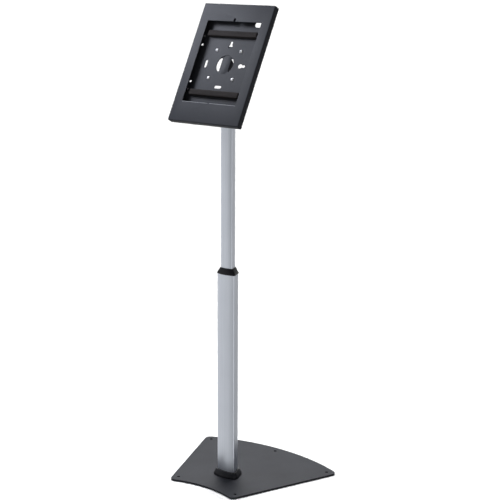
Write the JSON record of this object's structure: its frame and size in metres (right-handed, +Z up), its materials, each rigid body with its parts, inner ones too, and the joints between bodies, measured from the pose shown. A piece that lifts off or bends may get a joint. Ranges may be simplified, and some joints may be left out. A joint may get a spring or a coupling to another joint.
{
  "type": "height-adjustable tablet stand",
  "caption": "Floor stand for a tablet: lockable flat case with a hinged front frame on a tilt bracket, telescopic two-part post with a lock screw, flat base plate with floor holes.",
  "frame": {"origin": "on the floor, under the axis of the post", "axes": "+Z up along the post; +X to the right of a person facing the screen; -Y towards that person, the way the screen faces"},
  "size_m": [0.439, 0.3483, 1.2362],
  "materials": {
    "black_powder_coat": "fine-textured black powder coat",
    "bracket_coat": "smooth grey powder coat",
    "anodised_aluminium": "satin natural anodised, fine drawing lines along the post",
    "cast_aluminium": "die cast, blasted",
    "rivet_aluminium": "plain",
    "black_plastic": "moulded black plastic, soft sheen",
    "slide_plastic": "natural sliding plastic",
    "pad_rubber": "matt black",
    "cell_foam": "closed-cell foam, cut edges",
    "zinc_steel": "bright zinc plated",
    "black_steel": "black oxide",
    "insert_brass": "plain",
    "lock_chrome": "bright chrome"
  },
  "bodies": {
    "stand": {"base_plate": "black_powder_coat", "floor_pads": "pad_rubber", "post_bolts": "zinc_steel", "lower_post": "anodised_aluminium", "foot_trim": "black_plastic", "collar": "black_plastic", "guide_bush": "slide_plastic", "lock_insert": "insert_brass", "lock_shoe": "slide_plastic"},
    "lock_screw": {"height_lock_screw": "black_steel"},
    "upper_post_unit": {"upper_post": "anodised_aluminium", "glide_block": "slide_plastic", "glide_screws": "zinc_steel", "post_head": "cast_aluminium", "head_screws": "black_steel", "friction_washers": "slide_plastic"},
    "head": {"tilt_bracket": "bracket_coat", "mounting_plate": "bracket_coat", "pivot_bolt": "zinc_steel", "pivot_nut": "zinc_steel", "pivot_washers": "zinc_steel", "rear_tray": "black_powder_coat", "tray_screws": "zinc_steel", "upper_foam_strip": "cell_foam", "lower_foam_strip": "cell_foam", "tray_hinge_leaves": "black_powder_coat", "hinge_rivets": "rivet_aluminium", "hinge_pins": "zinc_steel", "lock_barrel": "lock_chrome", "lock_nut": "zinc_steel"},
    "front_cover": {"front_frame": "black_powder_coat", "lock_keeper": "black_powder_coat"},
    "case_lock": {"lock_plug": "lock_chrome", "lock_cam": "zinc_steel", "cam_screw": "zinc_steel"}
  },
  "joints": [
    {"name": "height_slide", "type": "slide", "parent": "stand", "child": "upper_post_unit", "axis": [0, 0, 1], "range_m": [-0.4, 0]},
    {"name": "height_lock", "type": "hinge", "parent": "stand", "child": "lock_screw", "pos_m": [0, 0.025, 0.5225], "axis": [0, 1, 0], "range_deg": [0, 360]},
    {"name": "head_tilt", "type": "hinge", "parent": "upper_post_unit", "child": "head", "pos_m": [0, 0, 1.0683], "axis": [-1, 0, 0], "range_deg": [-28, 60]},
    {"name": "cover_hinge", "type": "hinge", "parent": "head", "child": "front_cover", "pos_m": [-0.10775, -0.01582, 1.07678], "axis": [0, -0.4726, -0.8813], "range_deg": [0, 105]},
    {"name": "cam_lock", "type": "hinge", "parent": "head", "child": "case_lock", "pos_m": [0.071, -0.0878, 0.97122], "axis": [0, -0.8813, 0.4726], "range_deg": [0, 90]}
  ]
}
